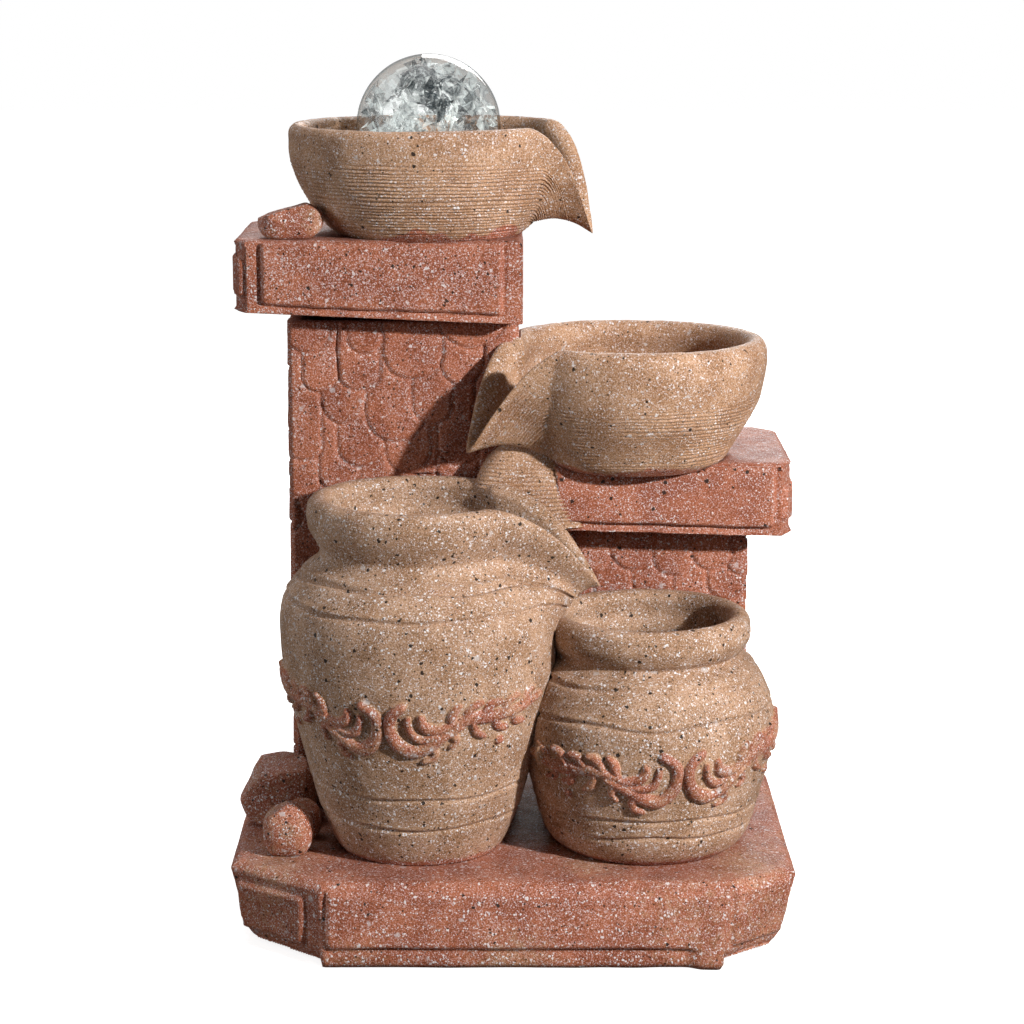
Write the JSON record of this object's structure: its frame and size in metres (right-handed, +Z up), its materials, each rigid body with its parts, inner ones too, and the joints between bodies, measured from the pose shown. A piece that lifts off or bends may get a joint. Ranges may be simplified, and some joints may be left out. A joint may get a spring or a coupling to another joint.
{
  "type": "tabletop water fountain",
  "caption": "Cast-resin tabletop fountain: a pump in a clad column feeds a lit glass ball, and water falls by spouted bowls and jars into the hollow plinth.",
  "frame": {"origin": "middle of the footprint, on the surface the feet stand on", "axes": "+Z up, front towards -Y, +X to the viewer's right"},
  "size_m": [0.2519, 0.1941, 0.3817],
  "materials": {
    "terracotta_resin": "matte",
    "sand_resin": "satin",
    "crackle_glass": "polished",
    "clear_plastic": "gloss",
    "white_plastic": "satin",
    "black_plastic": "satin",
    "rubber": "matte",
    "circuit_board": "satin",
    "led": "gloss",
    "ferrite": "satin",
    "ceramic_shaft": "polished",
    "steel": "satin"
  },
  "bodies": {
    "fountain": {"base_plinth": "terracotta_resin", "base_floor": "terracotta_resin", "tall_column": "terracotta_resin", "short_column": "terracotta_resin", "upper_ledge": "terracotta_resin", "lower_ledge": "terracotta_resin", "boulder_left": "terracotta_resin", "pebble_front": "terracotta_resin", "pebble_middle": "terracotta_resin", "pebble_upper": "terracotta_resin", "upper_bowl": "sand_resin", "lower_bowl": "sand_resin", "tall_jar": "sand_resin", "short_jar": "sand_resin", "spout_support": "sand_resin", "light_lens": "clear_plastic", "riser_hose": "clear_plastic", "light_housing": "white_plastic", "pump_motor": "black_plastic", "pump_volute": "black_plastic", "drain_strainer": "black_plastic", "foot_front_left": "rubber", "foot_front_right": "rubber", "foot_back_left": "rubber", "foot_back_right": "rubber", "suction_cup_1": "rubber", "suction_cup_2": "rubber", "suction_cup_3": "rubber", "suction_cup_4": "rubber", "lead_grommet": "rubber", "light_board": "circuit_board", "led_1": "led", "led_2": "led", "led_3": "led", "led_4": "led", "impeller_shaft": "ceramic_shaft", "hose_clamp": "steel"},
    "seat": {"ball_seat": "clear_plastic"},
    "ball": {"crystal_ball": "crackle_glass"},
    "rotor": {"impeller": "white_plastic", "rotor_magnet": "ferrite"},
    "grille": {"pump_grille": "black_plastic"},
    "dial": {"flow_regulator": "white_plastic"},
    "cover": {"access_cover": "terracotta_resin", "cover_knob": "terracotta_resin"}
  },
  "joints": [
    {"name": "seat_lift", "type": "slide", "parent": "fountain", "child": "seat", "axis": [0, 0, 1], "range_m": [0, 0.06]},
    {"name": "ball_spin", "type": "hinge", "parent": "seat", "child": "ball", "pos_m": [-0.0375, 0.035, 0.3492], "axis": [0, 0, 1], "continuous": true},
    {"name": "impeller_spin", "type": "hinge", "parent": "fountain", "child": "rotor", "pos_m": [-0.0375, 0.045, 0.022], "axis": [0, -1, 0], "continuous": true},
    {"name": "grille_slide", "type": "slide", "parent": "fountain", "child": "grille", "axis": [0, -1, 0], "range_m": [0, 0.03]},
    {"name": "flow_dial", "type": "hinge", "parent": "grille", "child": "dial", "pos_m": [-0.0375, 0.0217, 0.0208], "axis": [0, -1, 0], "range_deg": [0, 90]},
    {"name": "cover_slide", "type": "slide", "parent": "fountain", "child": "cover", "axis": [0, 1, 0], "range_m": [0, 0.04]}
  ]
}
